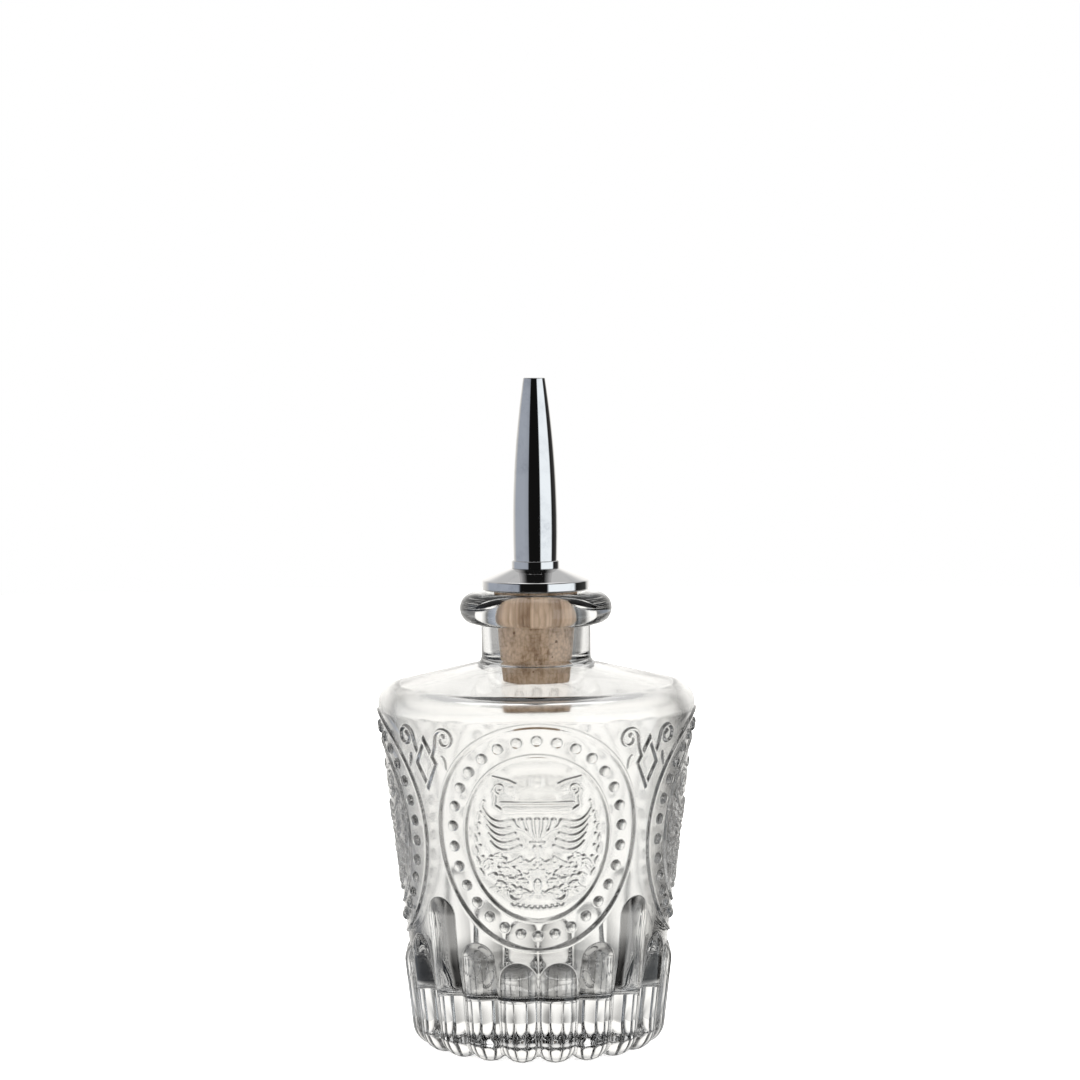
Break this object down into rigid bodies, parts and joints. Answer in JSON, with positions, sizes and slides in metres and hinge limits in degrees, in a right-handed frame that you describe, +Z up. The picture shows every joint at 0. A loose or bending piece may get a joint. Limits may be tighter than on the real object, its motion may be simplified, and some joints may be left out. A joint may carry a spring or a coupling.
{
  "type": "bitters bottle",
  "caption": "Small pressed-glass bottle with medallion relief and a toed base, closed by a tapered cork that carries a metal dasher spout.",
  "frame": {"origin": "centre of the standing face under the base", "axes": "+Z up along the bottle's axis, -Y out through the middle of the front medallion, +X to the right of it"},
  "size_m": [0.0686, 0.0686, 0.1421],
  "materials": {
    "glass": "clear pressed glass, fire polished",
    "cork": "natural cork, fine grain with small pores",
    "steel": "polished"
  },
  "bodies": {
    "bottle": {"glass_bottle": "glass"},
    "stopper": {"cork_stopper": "cork", "stem_tube": "steel", "cap_plate": "steel", "foot_collar": "steel", "spout_tube": "steel"}
  },
  "joints": [
    {"name": "stopper_lift", "type": "slide", "parent": "bottle", "child": "stopper", "axis": [0, 0, 1], "range_m": [0, 0.05]}
  ]
}
